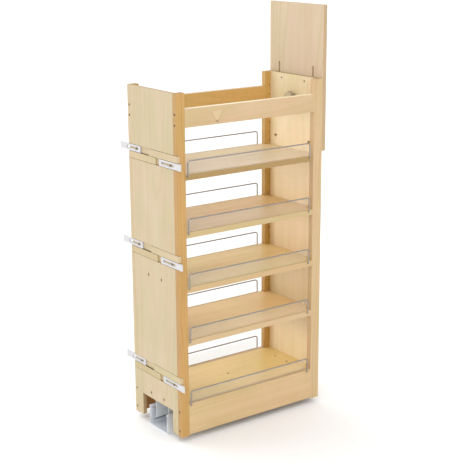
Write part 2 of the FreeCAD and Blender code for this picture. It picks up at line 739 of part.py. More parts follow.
def make_slides():
    wall = d.slide_wall
    for side_name, side in SIDES:
        outer = c_profile(side, outer_x, d.outer_depth, d.outer_half_height, wall, -1)
        middle = c_profile(side, middle_x, d.middle_depth, middle_half, wall, -1)
        inner = c_profile(side, inner_x - wall, d.inner_depth, inner_half, wall, 1)
        members = (("slide_outer", outer, half_depth - d.slide_inset),
                   ("slide_middle", middle, half_depth - d.slide_inset),
                   ("slide_inner", inner, half_depth - d.slide_inner_inset))
        for name, section, start in members:
            label = f"{name}_{side_name}"
            body = new_body(label + "_body")
            pad(body, outline(body, label + "_section", "XZ_Plane", section, -start), d.slide_length)
            keep(label, body)


def cage_strip(side, x, z, rear):
    """One flat ball retainer with its balls."""
    length = d.cage_length.value
    hole = (d.ball_radius + d.hole_clearance).value
    strip = Part.makeBox(d.cage_width.value, length, d.cage_thick.value,
                         Vector(x * side - d.cage_width.value / 2, rear - length, z - d.cage_thick.value / 2))
    solids = []
    for i in range(CAGE_BALLS):
        centre = Vector(x * side, rear - length * (i + 0.5) / CAGE_BALLS, z)
        strip = strip.cut(Part.makeCylinder(hole, d.cage_thick.value * 2, centre - UP * d.cage_thick.value))
        solids.append(Part.makeSphere(d.ball_radius.value, centre))
    return [strip] + solids


def make_cages():
    x = (middle_x - d.slide_wall - d.cage_width / 2 - d.cage_gap).value
    for label, member_half, inset in (("outer_ball_cages", middle_half, d.outer_cage_inset),
                                      ("inner_ball_cages", inner_half, d.inner_cage_inset)):
        half = member_half + d.ball_gap / 2
        rear = half_depth - inset
        solids = []
        for _, side in SIDES:
            for up in (-1, 1):
                solids += cage_strip(side, x, slide_middle.value + up * half.value, rear.value)
        keep(label, feature(label, Part.makeCompound(solids)))


def make_bracket():
    """The hat-section carriage that joins the slides' inner members to the bottom shelf."""
    half = inner_x - d.slide_wall
    wall = d.bracket_thick
    top = level(d.bottom_top - d.shelf_thick)
    low = d.bracket_bottom
    section = [(-half, low), (wall - half, low), (wall - half, top - wall), (half - wall, top - wall),
               (half - wall, low), (half, low), (half, top), (-half, top)]
    body = new_body("bracket_body")
    sketch = outline(body, "bracket_section", "XZ_Plane", section, d.bracket_inset - half_depth)
    pad(body, sketch, d.bracket_length)
    keep("slide_bracket", cut("bracket_cut", body, [bracket_holes]))


# ---------------------------------------------------------------- build, check and write

make_stiles()
make_rails_and_boards()
make_panels()
make_shelves()
make_shelf_pins()
make_slats_and_glides()
make_front_board()
make_board_screws()
make_lock_knob()
make_channel()
make_slides()
make_cages()
make_bracket()
doc.recompute()

for obj in doc.Objects:
    if {"Invalid", "Error"} & set(obj.State):
        raise RuntimeError(f"{obj.Name} did not compute: {obj.State}")
for obj in parts:
    if obj.Shape.isNull() or not obj.Shape.isValid():
        raise RuntimeError(f"{obj.Label} has no valid shape")
os.makedirs("parts", exist_ok=True)
for obj in parts:
    obj.Shape.exportStep(f"parts/{obj.Label}.step")
print(len(parts), "sub-parts written")
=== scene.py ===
import math

import bpy
from mathutils import Matrix, Vector


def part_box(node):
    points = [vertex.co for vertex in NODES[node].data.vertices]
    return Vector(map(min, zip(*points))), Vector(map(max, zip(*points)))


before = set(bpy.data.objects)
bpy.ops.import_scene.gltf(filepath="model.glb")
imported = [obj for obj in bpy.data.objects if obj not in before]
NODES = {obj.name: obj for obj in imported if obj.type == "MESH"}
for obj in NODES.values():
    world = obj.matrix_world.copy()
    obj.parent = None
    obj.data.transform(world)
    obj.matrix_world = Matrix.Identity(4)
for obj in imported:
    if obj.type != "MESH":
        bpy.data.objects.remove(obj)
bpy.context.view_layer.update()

AXES = "xyz"
BANDS = (1, 2, 3)


def linear(code):
    """The linear colour of a six-digit sRGB code."""
    out = []
    for start in (0, 2, 4):
        c = int(code[start:start + 2], 16) / 255
        out.append(c / 12.92 if c <= 0.04045 else ((c + 0.055) / 1.055) ** 2.4)
    return tuple(out)


def scaled(colour, factor):
    return tuple(min(1.0, c * factor) for c in colour)


def stretched(axis, along, across):
    """A scale that is along on the named axis and across on the two others."""
    return tuple(along if name == axis else across for name in AXES)


# ---------------------------------------------------------------- shader graphs

EDGE_WEAR_AND_HIGHLIGHT = (0.80, 0.985, 1.0, 0.0)    # span of the softened normal against the true one, for the edges' wear and painted highlight


class Graph:
    """A material's node tree, with one short method for each kind of node that the looks need."""

    def __init__(self, name):
        self.material = bpy.data.materials.new(name)
        self.material.use_nodes = True
        self.tree = self.material.node_tree
        self.tree.nodes.clear()
        self.output = self.new("OutputMaterial")
        self.coords = self.new("TexCoord").outputs["Object"]
        self.normal = self.new("NewGeometry").outputs["Normal"]

    def new(self, kind):
        return self.tree.nodes.new("ShaderNode" + kind)

    def put(self, socket, value):
        if isinstance(value, bpy.types.NodeSocket):
            self.tree.links.new(value, socket)
        elif isinstance(value, tuple) and len(value) == 3 and socket.type == "RGBA":
            socket.default_value = (*value, 1.0)
        else:
            socket.default_value = value

    def math(self, operation, a, b=0.0, c=None, clamp=False):
        n = self.new("Math")
        n.operation = operation
        n.use_clamp = clamp
        self.put(n.inputs[0], a)
        self.put(n.inputs[1], b)
        if c is not None:
            self.put(n.inputs[2], c)
        return n.outputs[0]

    def product(self, first, *others):
        for other in others:
            first = self.math("MULTIPLY", first, other)
        return first

    def swing(self, noise, weight, base, clamp=False):
        """base plus a noise that swings about its middle."""
        return self.math("MULTIPLY_ADD", self.math("SUBTRACT", noise, 0.5), weight, base, clamp)

    def vector(self, operation, a, b=None):
        n = self.new("VectorMath")
        n.operation = operation
        self.put(n.inputs[0], a)
        if b is not None:
            self.put(n.inputs[1], b)
        return n.outputs["Value" if operation in ("LENGTH", "DOT_PRODUCT") else "Vector"]

    def split(self, vector):
        n = self.new("SeparateXYZ")
        self.put(n.inputs[0], vector)
        return n.outputs[0], n.outputs[1], n.outputs[2]

    def join(self, x, y, z):
        n = self.new("CombineXYZ")
        for socket, value in zip(n.inputs, (x, y, z)):
            self.put(socket, value)
        return n.outputs[0]

    def noise(self, vector, scale, detail, roughness=0.5):
        n = self.new("TexNoise")
        self.put(n.inputs["Vector"], vector)
        n.inputs["Scale"].default_value = scale
        n.inputs["Detail"].default_value = detail
        n.inputs["Roughness"].default_value = roughness
        return n.outputs["Fac"]

    def cells(self, vector, scale):
        """A number of its own for each cell."""
        n = self.new("TexVoronoi")
        self.put(n.inputs["Vector"], vector)
        n.inputs["Scale"].default_value = scale
        return self.split(n.outputs["Color"])[0]

    def ramp(self, value, stops):
        """A number from a list of (position, number)."""
        n = self.new("ValToRGB")
        n.color_ramp.interpolation = "EASE"
        elements = n.color_ramp.elements
        while len(elements) > 1:
            elements.remove(elements[-1])
        for i, (position, level) in enumerate(stops):
            stop = elements[0] if i == 0 else elements.new(position)
            stop.position = position
            stop.color = (level, level, level, 1.0)
        self.put(n.inputs[0], value)
        return n.outputs[0]

    def span(self, value, low, high, out_low=0.0, out_high=1.0):
        """A smooth step from out_low to out_high while value goes from low to high."""
        n = self.new("MapRange")
        n.interpolation_type = "SMOOTHSTEP"
        self.put(n.inputs["Value"], value)
        for socket, number in zip(n.inputs[1:5], (low, high, out_low, out_high)):
            self.put(socket, number)
        return n.outputs[0]

    def facing(self, axis, *span):
        """The span of how squarely a face looks along an axis, one way or the other."""
        return self.span(self.math("ABSOLUTE", self.split(self.normal)[AXES.index(axis)]), *span)

    def blend(self, factor, a, b):
        n = self.new("Mix")
        n.data_type = "RGBA"
        self.put(n.inputs[0], factor)
        self.put(n.inputs[6], a)
        self.put(n.inputs[7], b)
        return n.outputs[2]

    def bevel(self, radius):
        n = self.new("Bevel")
        n.samples = 4
        n.inputs["Radius"].default_value = radius
        return n.outputs[0]

    def wear_and_highlight_edges(self, colour, soft, weight, paler):
        """Lightens the edges, where the bevelled normal soft leaves the true one: wear and a painted
        highlight.
        """
        edge_wear_and_highlight = self.span(self.vector("DOT_PRODUCT", soft, self.normal), *EDGE_WEAR_AND_HIGHLIGHT)
        return self.blend(self.product(edge_wear_and_highlight, weight), colour, paler)

    def bump(self, height, strength, distance, normal):
        n = self.new("Bump")
        n.inputs["Strength"].default_value = strength
        n.inputs["Distance"].default_value = distance
        self.put(n.inputs["Height"], height)
        self.put(n.inputs["Normal"], normal)
        return n.outputs[0]

    def shader(self, kind, **values):
        """A shader node whose sockets get the given values; _ stands for the space in a socket's name."""
        n = self.new(kind)
        for name, value in values.items():
            self.put(n.inputs[name.replace("_", " ")], value)
        return n.outputs[0]

    def mix_shaders(self, factor, a, b):
        n = self.new("MixShader")
        for socket, value in zip(n.inputs, (factor, a, b)):
            self.put(socket, value)
        return n.outputs[0]

    def end_in(self, shader):
        self.put(self.output.inputs["Surface"], shader)
        return self.material

    def finish(self, **values):
        return self.end_in(self.shader("BsdfPrincipled", **values))


def wear(node, material):
    for slot in NODES[node].material_slots:
        slot.material = material


# ---------------------------------------------------------------- wood

# The two coordinates across the grain, then the one along it.
GRAIN_ORDER = {"x": (1, 2, 0), "y": (0, 2, 1), "z": (0, 1, 2)}
SEED_STEP = (1.37, 0.61, 2.03)    # how far one seed moves the figure, in metres

# The figure's noises: scale across the grain, scale along it, detail, roughness
WANDER = (5.0, 1.1, 2.0, 0.55)    # of the log's centre line
LONG_FIBRE = (420.0, 7.0, 3.0, 0.62)
SHORT_FIBRE = (1500.0, 42.0, 2.0, 0.5)
CLOUD = (7.0, 2.2, 3.0, 0.6)
STREAK = (46.0, 0.9, 2.0, 0.5)
RIPPLE = (14.0, 95.0, 1.0, 0.5)
HUE = (11.0, 4.0, 2.0, 0.6)
CROSS_PLY = (260.0, 260.0, 3.0, 0.7)

WANDER_SHIFT = (7.3, 1.9, 4.4)    # between the wander of the two coordinates
WANDER_REACH = 0.085
RING_PROFILE = [(0.0, 0.0), (0.55, 0.16), (0.86, 1.0), (0.93, 0.75), (1.0, 0.0)]    # early to late wood
RINGS_ALIKE = 3.1                 # years that are about equally strong
RING_STRENGTH = (0.35, 0.68, 0.15, 1.0)
PORES = (0.60, 0.72)
PORE_WEIGHT, PORE_GAIN = 0.16, 0.62
CLOUD_WEIGHT, STREAK_WEIGHT, RIPPLE_WEIGHT = 0.75, 0.55, 0.16
TONE_BASE = 0.30

HUE_SPAN = (0.32, 0.68)
GREEN_CAST, PINK_CAST = (0.955, 0.985, 0.93), (1.035, 1.005, 1.06)
INSIDE_SPAN = (-0.6, -0.3, 1.0, 0.0)    # of the normal along the outward direction
SHADE_BLUE_POWER = 1.25            # in the painted light and shade, blue changes more than red and green
SQUARE_ON = (0.6, 0.9)            # spans of a normal's coordinate
EDGE_ON = (0.35, 0.65, 1.0, 0.0)
LEVEL_LIGHT_AND_SHADE_WEIGHT = 0.9

NARROW_FIBRE, NARROW_BASE = 0.8, 0.4    # of a thin board's narrow faces
NARROW_GAIN = 0.86
END_MOTTLE, END_BASE, END_GAIN = 0.35, 0.55, 0.74

DARK_VENEER = (0.22, 0.27, 1.0, 0.0)
GLUE_LINE = (0.40, 0.48)
CROSS_PLY_MOTTLE, CROSS_PLY_BASE = 0.5, 0.55
VENEER_WEIGHT, GLUE_WEIGHT, VENEER_GAIN = 0.42, 0.5, 0.78

FLAME_SPREAD, FLAME_FOOT = 0.62, 0.0035    # half width gained per height, and at the foot in metres
FLAME_TOP = 1.35                  # where it has faded out, in heights of its own
HEART_SPAN, HEART_START = (0.55, 1.15, 1.0, 0.0), (0.001, 0.005)
HEART_WEIGHT, HEART_GAIN = 0.50, 1.14
RIM_INNER, RIM_OUTER, RIM_START = (0.75, 1.0), (1.05, 1.5, 1.0, 0.0), (-0.004, 0.002)
RIM_WEIGHT, RIM_GAIN = 0.24, 0.80

KNOT_SLIMNESS = 2.2
KNOT_SPOT = (0.25, 1.25, 1.0, 0.0)
KNOT_GAIN = 0.34
SWIRL_RINGS, SWIRL_FALL = 2.4, -0.22

WOOD_BEVEL = 0.0011
WOOD_EDGE_WEAR_AND_HIGHLIGHT, WOOD_EDGE_WEAR_AND_HIGHLIGHT_GAIN = 0.30, 1.12
WOOD_BUMP, WOOD_DEPTH = 0.16, 0.0003
RING_RELIEF, FIBRE_RELIEF, PORE_RELIEF = 0.35, 0.8, -0.6
WOOD_ROUGH, CLOUD_ROUGH, PORE_ROUGH, END_ROUGH = 0.42, 0.18, 0.10, 0.12
LACQUER_ROUGH, LACQUER_SPECULAR = 0.28, 0.42


def figure_noise(g, place, pattern, shift=None):
    across, along, detail, roughness = pattern
    place = g.vector("MULTIPLY", place, (across, across, along))
    if shift is not None:
        place = g.vector("ADD", place, shift)
    return g.noise(place, 1.0, detail, roughness)


def log_radius(g, place, sides, along, pith, tilt):
    """The distance from the log's centre line, which leans and wanders."""
    away = []
    for side, centre, lean, shift in zip(sides, pith, tilt, (None, WANDER_SHIFT)):
        wander = g.math("SUBTRACT", figure_noise(g, place, WANDER, shift), 0.5)
        away.append(g.math("ADD", g.math("MULTIPLY_ADD", along, lean, side),
                           g.math("MULTIPLY_ADD", wander, WANDER_REACH, -centre)))
    return g.vector("LENGTH", g.join(*away, 0.0))


def late_wood(g, radius, ring, seed):
    """1 in the dark late wood of a year ring; some rings are fainter."""
    late = g.ramp(g.math("FRACT", g.math("DIVIDE", radius, ring)), RING_PROFILE)
    strength = g.noise(g.join(g.math("DIVIDE", radius, ring * RINGS_ALIKE), seed, 0.0), 1.0, 1.0)
    return g.product(late, g.span(strength, *RING_STRENGTH))


def draw_knots(g, radius, knots, grain, ring):
    """Bends the rings round each knot, and gives the knots' darkness."""
    darkness = None
    for centre, size, strength in knots:
        away = g.vector("MULTIPLY", g.vector("SUBTRACT", g.coords, centre),
                        stretched(grain, 1.0 / size, KNOT_SLIMNESS / size))
        away = g.vector("LENGTH", away)
        swirl = g.math("POWER", math.e, g.product(away, away, SWIRL_FALL))
        radius = g.math("MULTIPLY_ADD", swirl, ring * SWIRL_RINGS, radius)
        spot = g.product(g.span(away, *KNOT_SPOT), strength)
        darkness = spot if darkness is None else g.math("MAXIMUM", darkness, spot)
    return radius, darkness


def paint_inside_light_and_shade(g, colour, tone, inner, fade):
    """Gives the faces that look against the outward direction a tone of their own: painted shade and light,
    only partly the wood's own tone.
    """
    outward, light, dark = inner
    other = g.blend(tone, linear(light), linear(dark))
    # painted light and shade by height
    if fade is not None:
        top = fade[-1][0]
        height = g.split(g.coords)[2]
        gain = g.ramp(g.math("DIVIDE", height, top), [(z / top, level) for z, level in fade])
        other = g.vector("MULTIPLY", other, g.join(gain, gain, g.math("POWER", gain, SHADE_BLUE_POWER)))
    return g.blend(g.span(g.vector("DOT_PRODUCT", g.normal, outward), *INSIDE_SPAN), colour, other)


def draw_veneers(g, colour, dark, place, across, flank, veneers):
    """Every other veneer shows its end grain on a plywood board's edge, with a glue line between."""
    count, low, high = veneers
    layer = g.product(g.math("DIVIDE", g.math("SUBTRACT", across, low), high - low), float(count))
    in_pair, in_layer = g.math("FRACT", g.product(layer, 0.5)), g.math("FRACT", layer)
    dark_veneer = g.span(g.math("ABSOLUTE", g.math("SUBTRACT", in_pair, 0.5)), *DARK_VENEER)
    glue = g.span(g.math("ABSOLUTE", g.math("SUBTRACT", in_layer, 0.5)), *GLUE_LINE)
    cross = g.math("MULTIPLY_ADD", figure_noise(g, place, CROSS_PLY), CROSS_PLY_MOTTLE, CROSS_PLY_BASE)
    shade = g.math("MAXIMUM", g.product(cross, dark_veneer, VENEER_WEIGHT), g.product(glue, GLUE_WEIGHT))
    return g.blend(g.product(shade, flank), colour, scaled(dark, VENEER_GAIN))


def draw_flame(g, colour, light, dark, centre, foot, rise):
    """A pale tongue of grain that widens upward from its foot, with a dark rim."""
    _, y, z = g.split(g.coords)
    up = g.math("SUBTRACT", z, foot)
    half_width = g.math("MULTIPLY_ADD", up, FLAME_SPREAD, FLAME_FOOT)
    away = g.math("DIVIDE", g.math("ABSOLUTE", g.math("SUBTRACT", y, centre)), half_width)
    below_top = g.span(up, rise, rise * FLAME_TOP, 1.0, 0.0)
    heart = g.product(g.span(away, *HEART_SPAN), g.span(up, *HEART_START), below_top)
    rim = g.product(g.span(away, *RIM_INNER), g.span(away, *RIM_OUTER), below_top, g.span(up, *RIM_START))
    colour = g.blend(g.product(heart, HEART_WEIGHT), colour, scaled(light, HEART_GAIN))
    return g.blend(g.product(rim, RIM_WEIGHT), colour, scaled(dark, RIM_GAIN))


def wood(name, light, dark, grain, seed, pith, ring, figure, fibre, coat, tilt=(0.02, 0.03), thin=None,
         edge=None, veneers=None, end=None, level=None, inner=None, fade=None, knots=(), flames=()):
    """Lacquered birch or maple, from its light and its dark tone.

    grain is the axis that the fibres follow, pith the log's centre across the grain, tilt its lean, ring the
    width of a year ring. figure and fibre are how strongly rings and fibres show.
    A thin board has its thickness on the axis thin: edge then colours its narrow faces, and veneers, which is
    (how many, lowest, highest), draws them there. In a solid one, end colours the end grain.
    level colours the faces that look up and down: painted light where it is pale, painted shade where it is
    dark. inner is (outward direction, light, dark), for the faces turned the other way, whose tone is painted
    shade and light, only partly the wood's own; fade is their painted light and shade by height, as (height
    in m, gain).
    A knot is (centre, half length, darkness), a flame (y, lowest z, height)."""
    g = Graph(name)
    parts = g.split(g.coords)
    *sides, along = (parts[i] for i in GRAIN_ORDER[grain])
    place = g.vector("ADD", g.join(*sides, along), tuple(seed * step for step in SEED_STEP))

    radius = log_radius(g, place, sides, along, pith, tilt)
    radius, knot_dark = draw_knots(g, radius, knots, grain, ring)
    late = late_wood(g, radius, ring, seed)
    long_fibre = figure_noise(g, place, LONG_FIBRE)
    short_fibre = figure_noise(g, place, SHORT_FIBRE)
    cloud = figure_noise(g, place, CLOUD)
    pores = g.span(short_fibre, *PORES)

    tone = g.product(late, figure)
    for noise, weight in ((long_fibre, fibre), (cloud, CLOUD_WEIGHT),
                          (figure_noise(g, place, STREAK), STREAK_WEIGHT),
                          (figure_noise(g, place, RIPPLE), RIPPLE_WEIGHT)):
        tone = g.swing(noise, weight, tone)
    tone = g.math("ADD", tone, TONE_BASE, clamp=True)
    colour = g.blend(tone, light, dark)
    # painted light and shade: the faces turned inward get the tone they are lit with, only partly the wood's
    # own
    if inner is not None:
        colour = paint_inside_light_and_shade(g, colour, tone, inner, fade)
    hue = g.span(figure_noise(g, place, HUE), *HUE_SPAN)
    colour = g.vector("MULTIPLY", colour, g.blend(hue, GREEN_CAST, PINK_CAST))
    colour = g.blend(g.product(pores, PORE_WEIGHT), colour, scaled(dark, PORE_GAIN))

    end_grain = g.facing(grain, *SQUARE_ON)
    if thin is not None:
        flank = g.facing(thin, *EDGE_ON)
        edge = linear(edge)
        narrow_tone = g.swing(long_fibre, NARROW_FIBRE, NARROW_BASE, clamp=True)
        colour = g.blend(flank, colour, g.blend(narrow_tone, edge, scaled(edge, NARROW_GAIN)))
        if veneers is not None:
            colour = draw_veneers(g, colour, dark, place, parts[AXES.index(thin)], flank, veneers)
    else:
        mottle = g.math("MULTIPLY_ADD", short_fibre, END_MOTTLE, END_BASE)
        end_colour = scaled(dark, END_GAIN) if end is None else linear(end)
        colour = g.blend(g.product(end_grain, mottle), colour, end_colour)
    # the level tone is painted light where it is pale and painted shade where it is dark
    if level is not None:
        colour = g.blend(g.product(g.facing("z", *SQUARE_ON), LEVEL_LIGHT_AND_SHADE_WEIGHT), colour, linear(level))
    for flame in flames:
        colour = draw_flame(g, colour, light, dark, *flame)
    if knot_dark is not None:
        colour = g.blend(knot_dark, colour, scaled(dark, KNOT_GAIN))

    soft = g.bevel(WOOD_BEVEL)
    # paler edges: wear and a painted highlight
    colour = g.wear_and_highlight_edges(colour, soft, WOOD_EDGE_WEAR_AND_HIGHLIGHT, scaled(light, WOOD_EDGE_WEAR_AND_HIGHLIGHT_GAIN))
    height = g.math("MULTIPLY_ADD", long_fibre, FIBRE_RELIEF, g.product(pores, PORE_RELIEF))
    height = g.math("MULTIPLY_ADD", late, RING_RELIEF, height)
    rough = g.swing(cloud, CLOUD_ROUGH, WOOD_ROUGH)
    rough = g.math("MULTIPLY_ADD", pores, PORE_ROUGH, rough)
    rough = g.math("MULTIPLY_ADD", end_grain, END_ROUGH, rough)
    return g.finish(Base_Color=colour, Roughness=rough, Normal=g.bump(height, WOOD_BUMP, WOOD_DEPTH, soft),
                    Coat_Weight=coat, Coat_Roughness=LACQUER_ROUGH, Specular_IOR_Level=LACQUER_SPECULAR)


def paint_wood(node, light, dark, grain, seed, plies=0, **more):
    if plies:
        low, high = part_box(node)
        axis = AXES.index(more["thin"])
        more["veneers"] = (plies, low[axis], high[axis])
    wear(node, wood("birch_" + node, linear(light), linear(dark), grain, seed, **more))


# Solid rails, stiles and boards
STILE = dict(grain="z", ring=0.006, figure=0.55, fibre=0.45, coat=0.15)
RAIL = dict(ring=0.009, figure=0.27, fibre=0.40, coat=0.15)
# inner gives the faces turned against these directions painted shade and light, only partly the wood's own
# tone
RIGHT = (1, 0, 0)
FRONT = (0, -1, 0)
FRONT_RIGHT = (0.7, -0.7, 0)
paint_wood("rear_left_stile", "B9945A", "9C6F34", seed=1, pith=(0.11, 0.16), tilt=(0.010, 0.012),
           inner=(RIGHT, "C6A060", "A77838"), **STILE)
paint_wood("rear_right_stile", "C3B696", "AA8D59", seed=2, pith=(-0.10, 0.19), tilt=(-0.014, 0.008),
           inner=(RIGHT, "CDA55E", "A47B35"), **STILE)
paint_wood("front_left_stile", "CCB28A", "B3905E", seed=3, pith=(0.09, -0.16), tilt=(0.012, -0.010), **STILE)
paint_wood("front_right_stile", "CCB28A", "B3905E", seed=4, pith=(-0.12, -0.15), tilt=(-0.010, 0.015),
           inner=(FRONT_RIGHT, "CDA55E", "A47B35"), **STILE)
# level paints this rail's faces that look up and down pale: painted light from above on its top
paint_wood("top_rail_left", "C8AE88", "B89765", "y", 5, pith=(-0.02, 1.12), tilt=(0.02, 0.055),
           knots=[((-0.139, 0.135, 1.029), 0.0075, 0.75)], flames=[(0.135, 1.031, 0.026)],
           level="EBDCBA", **RAIL)
paint_wood("top_rail_right", "CAB08B", "B18C59", "y", 6, pith=(0.02, 1.10), tilt=(0.02, -0.045),
           inner=(RIGHT, "D1AB65", "AD803B"), **RAIL)
paint_wood("bottom_board_left", "CDB287", "BA9662", "y", 7, pith=(-0.03, 0.22), tilt=(0.01, 0.05), **RAIL)
paint_wood("bottom_board_right", "CDB287", "BA9662", "y", 8, pith=(0.03, -0.05), tilt=(-0.01, 0.04),
           inner=(RIGHT, "C08A4C", "A06C30"), **RAIL)
paint_wood("middle_shelf_cleat", "D2B689", "B9935C", "x", 9, pith=(0.1, 0.2), **RAIL)

# Plywood panels; the rear one is darker in a spot round each of its screws
PANEL = dict(grain="z", thin="y", ring=0.016, figure=0.30, fibre=0.22, plies=9, coat=0.12)
DARK_SPOTS_AT_SCREWS = [((x, 0.285, z), 0.0105, 0.42) for z in (0.116, 0.524) for x in (-0.038, 0.038)]
# Painted light and shade on the front panel's inward face: pale overall, and lighter and darker by height
FRONT_PANEL_LIGHT_AND_SHADE = [(0.0, 0.98), (0.20, 0.96), (0.30, 0.77), (0.44, 0.86), (0.66, 1.08), (0.82, 1.08),
                    (0.96, 1.0), (1.05, 0.80), (1.13, 0.76)]
paint_wood("rear_panel", "C1B192", "B29A70", seed=11, pith=(0.02, 0.42), tilt=(0.05, 0.02),
           edge="B0926A", knots=DARK_SPOTS_AT_SCREWS, **PANEL)
paint_wood("front_panel", "CDB68E", "B89D70", seed=12, pith=(-0.03, -0.42), tilt=(-0.04, 0.02),
           edge="977B52", inner=(FRONT, "FCEBC9", "E2C796"), fade=FRONT_PANEL_LIGHT_AND_SHADE, **PANEL)
paint_wood("front_board", "CBB79C", "B69D76", seed=13, pith=(0.03, -0.44), tilt=(0.04, -0.02),
           edge="BC9F7A", **PANEL)

# Shelves, each with its light, dark and edge tone
SHELF = dict(grain="y", thin="z", tilt=(0.05, 0.02), ring=0.014, figure=0.28, fibre=0.24, coat=0.14)
SHELVES = {
    "shelf_1": ("DCC49E", "C2A174", "A48550", 21),
    "shelf_2": ("E6C891", "CAA56A", "C2AA79", 22),
    "middle_shelf": ("EBD59A", "CEB075", "C6A778", 23),
    "shelf_4": ("EED29C", "D3AE73", "CAAD82", 24),
    "bottom_shelf": ("ECD594", "D0B069", "D4B98C", 25),
}
for shelf, (light, dark, edge, seed) in SHELVES.items():
    paint_wood(shelf, light, dark, seed=seed, pith=(0.04 - 0.02 * (seed % 3), 1.6), edge=edge, **SHELF)

# Stabiliser slats; their level faces are painted dark, as painted shade in the seams of the rear panel
SLAT = dict(grain="x", pith=(0.4, 0.3), ring=0.007, figure=0.25, fibre=0.30, coat=0.12, end="C2AC86",
            level="3E2812")
for band in BANDS:
    paint_wood(f"upper_slat_{band}", "C2B38F", "AE976B", seed=30 + band, **SLAT)
    paint_wood(f"lower_slat_{band}", "C0AF89", "AC9365", seed=40 + band, **SLAT)


# ---------------------------------------------------------------- metal and plastic

FINE_BUMP_DEPTH = 0.0001

DRAWN_ALONG, DRAWN_ACROSS = 14.0, 900.0    # noise scales of drawing lines
METAL_MOTTLE = 60.0
METAL_PALE, METAL_DARK = 1.10, 0.82
METAL_BEVEL, METAL_BUMP = 0.0004, 0.06

SPANGLE, ZINC_MOTTLE = 170.0, 24.0
ROLLED_ALONG, ROLLED_ACROSS = 6.0, 700.0
ROLL_TONE, SPANGLE_TONE = 0.22, 0.16
ZINC_PALE, ZINC_DARK = 1.12, 0.84
ZINC_BEVEL, ZINC_BUMP = 0.0005, 0.05
ZINC_EDGE_WEAR_AND_HIGHLIGHT, ZINC_EDGE_WEAR_AND_HIGHLIGHT_GAIN = 0.35, 1.3
ZINC_ROUGH, ZINC_MOTTLE_ROUGH, SPANGLE_ROUGH = 0.34, 0.16, 0.08

SKIN, FLOW = 1600.0, 40.0
PLASTIC_PALE, PLASTIC_DARK = 1.04, 0.90
PLASTIC_BEVEL, PLASTIC_BUMP = 0.0006, 0.10
PLASTIC_EDGE_WEAR_AND_HIGHLIGHT, PLASTIC_EDGE_WEAR_AND_HIGHLIGHT_GAIN = 0.3, 1.15
SIDE_SHADE_SPAN = (0.35, 0.75, 1.0, 0.0)
FLOW_ROUGH, COAT_ROUGH = 0.14, 0.2

SCUFF = (60.0, 9.0, 160.0)
HAZE = (0.60, 0.85, 0.012, 0.045)
SAWN_EDGE = (0.4, 0.7, 0.30, 0.0)
CLEAR_TINT, MILKY = (0.955, 0.960, 0.958), (0.80, 0.83, 0.83)
SHINE_POWER, SHINE_GAIN, SHINE_BASE = 5.0, 0.90, 0.04
SCUFF_ROUGH, CLEAR_ROUGH = 0.12, 0.01


def metal(name, colour, roughness, spread, streaks, grain, seed, metallic=1.0):
    """Plated or drawn metal. streaks is how strongly its drawing lines show, along the axis grain; spread is
    how far the roughness goes up and down."""
    g = Graph(name)
    place = g.vector("ADD", g.coords, (seed, seed * 0.37, -seed))
    lines = g.noise(g.vector("MULTIPLY", place, stretched(grain, DRAWN_ALONG, DRAWN_ACROSS)), 1.0, 2.0, 0.6)
    mottle = g.noise(place, METAL_MOTTLE, 3.0, 0.6)
    tone = g.math("ADD", g.swing(lines, streaks, g.product(mottle, 0.5)), 0.1, clamp=True)
    tint = g.blend(tone, scaled(colour, METAL_PALE), scaled(colour, METAL_DARK))
    return g.finish(Base_Color=tint, Roughness=g.swing(mottle, spread, roughness), Metallic=metallic,
                    Normal=g.bump(lines, METAL_BUMP, FINE_BUMP_DEPTH, g.bevel(METAL_BEVEL)))


def zinc(name, colour, seed, metallic):
    """Zinc-plated sheet: fine spangle, faint rolling marks and a soft shine."""
    g = Graph(name)
    place = g.vector("ADD", g.coords, (seed, seed * 0.53, seed * 0.21))
    spangle = g.cells(place, SPANGLE)
    roll = g.noise(g.vector("MULTIPLY", place, stretched("y", ROLLED_ALONG, ROLLED_ACROSS)), 1.0, 2.0, 0.6)
    mottle = g.noise(place, ZINC_MOTTLE, 3.0, 0.6)
    tone = g.math("MULTIPLY_ADD", roll, ROLL_TONE, g.product(mottle, 0.5))
    tone = g.math("MULTIPLY_ADD", spangle, SPANGLE_TONE, tone)
    tint = g.blend(tone, scaled(colour, ZINC_PALE), scaled(colour, ZINC_DARK))
    soft = g.bevel(ZINC_BEVEL)
    # paler edges: wear and a painted highlight
    tint = g.wear_and_highlight_edges(tint, soft, ZINC_EDGE_WEAR_AND_HIGHLIGHT, scaled(colour, ZINC_EDGE_WEAR_AND_HIGHLIGHT_GAIN))
    rough = g.math("MULTIPLY_ADD", mottle, ZINC_MOTTLE_ROUGH, ZINC_ROUGH)
    rough = g.math("MULTIPLY_ADD", spangle, SPANGLE_ROUGH, rough)
    return g.finish(Base_Color=tint, Roughness=rough, Metallic=metallic,
                    Normal=g.bump(roll, ZINC_BUMP, FINE_BUMP_DEPTH, soft))


